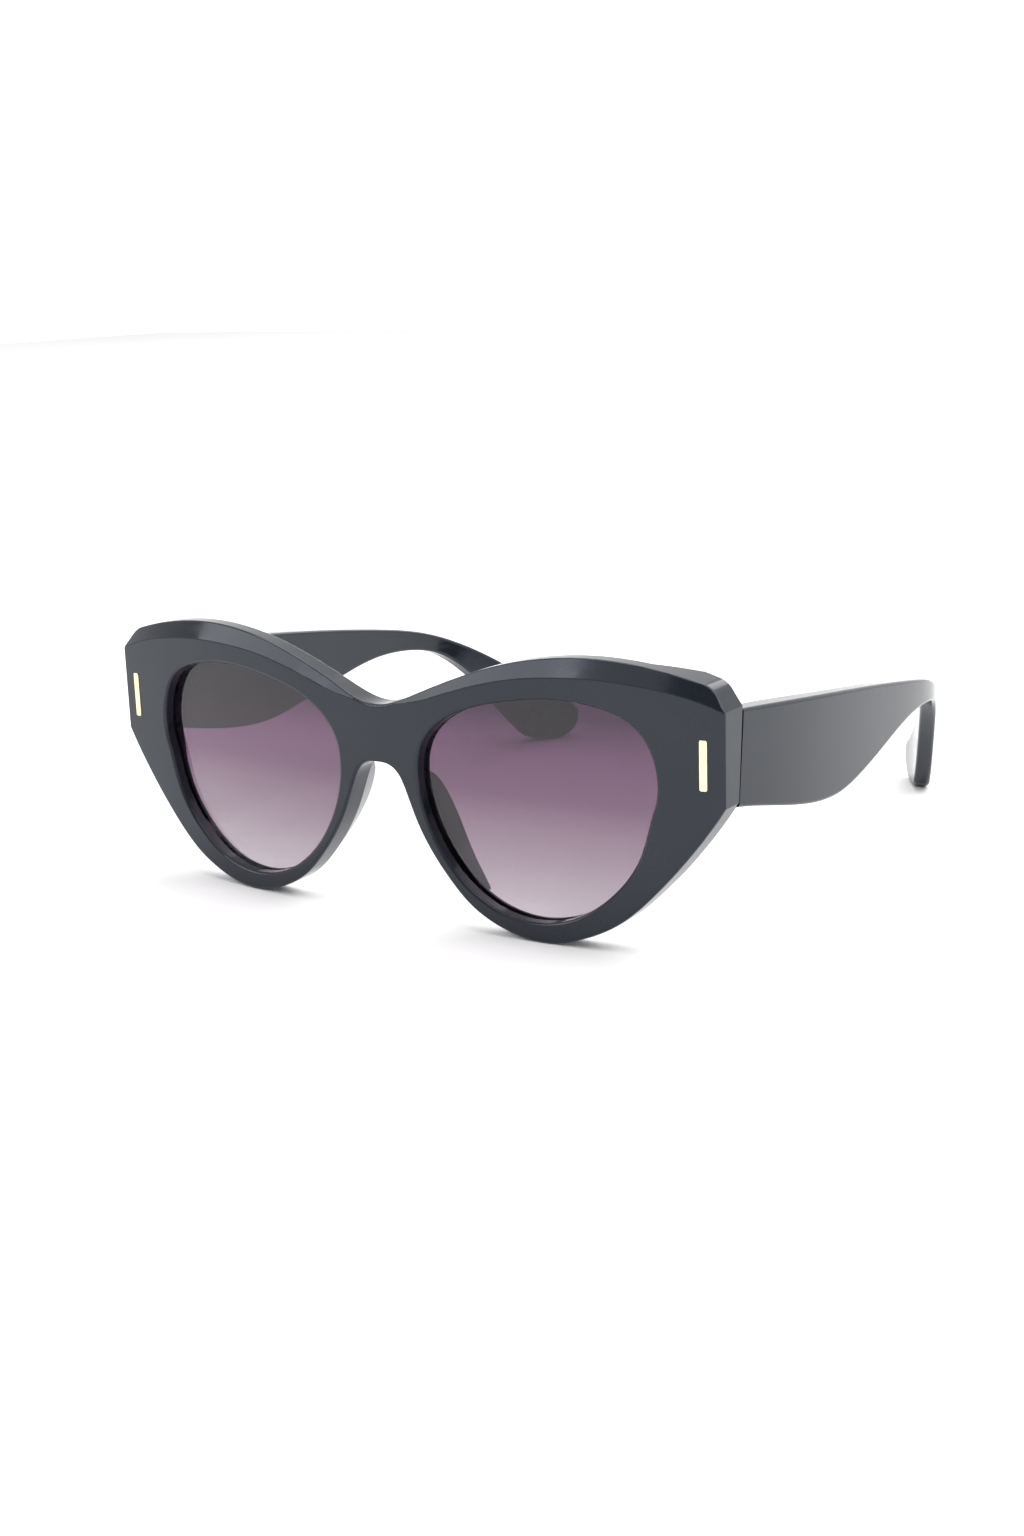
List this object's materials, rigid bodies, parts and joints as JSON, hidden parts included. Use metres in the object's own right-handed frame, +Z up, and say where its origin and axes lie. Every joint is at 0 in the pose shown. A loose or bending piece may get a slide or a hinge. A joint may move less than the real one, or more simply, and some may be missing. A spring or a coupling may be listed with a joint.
{
  "type": "cat eye sunglasses",
  "caption": "Cat eye sunglasses with a bevelled brow, gradient tinted lenses, gold corner bars and wide folding temples on screwed hinges.",
  "frame": {"origin": "middle of the footprint, on the plane that the rims and the temple tips stand on", "axes": "+X towards the wearer's left, +Y from the front to the ear tips, +Z up; the plane X = 0 is the plane of symmetry"},
  "size_m": [0.1478, 0.147, 0.0545],
  "materials": {
    "frame_plastic": "polished opaque black, slightly blue",
    "lens_tint": "clear polished plastic with a plum tint that fades downwards",
    "gold_plate": "polished pale gold plating",
    "hinge_metal": "black coated metal, satin",
    "screw_steel": "dark plated steel",
    "core_wire": "drawn wire, sealed inside the temple"
  },
  "bodies": {
    "front": {"frame_front": "frame_plastic", "lens_left": "lens_tint", "lens_right": "lens_tint", "nose_pad_left": "frame_plastic", "nose_pad_right": "frame_plastic", "front_bar_left": "gold_plate", "front_bar_right": "gold_plate", "hinge_front_leaf_left": "hinge_metal", "hinge_front_leaf_right": "hinge_metal", "hinge_screw_left": "screw_steel", "hinge_screw_right": "screw_steel"},
    "temple_left": {"temple_left": "frame_plastic", "hinge_temple_leaf_left": "hinge_metal", "temple_leaf_screws_left": "screw_steel", "temple_core_wire_left": "core_wire"},
    "temple_right": {"temple_right": "frame_plastic", "hinge_temple_leaf_right": "hinge_metal", "temple_leaf_screws_right": "screw_steel", "temple_core_wire_right": "core_wire"}
  },
  "joints": [
    {"name": "temple_left_fold", "type": "hinge", "parent": "front", "child": "temple_left", "pos_m": [0.0661, -0.05893, 0.0375], "axis": [0, 0.0872, 0.9962], "range_deg": [0, 83]},
    {"name": "temple_right_fold", "type": "hinge", "parent": "front", "child": "temple_right", "pos_m": [-0.0661, -0.05893, 0.0375], "axis": [0, -0.0872, -0.9962], "range_deg": [0, 67.5]}
  ]
}
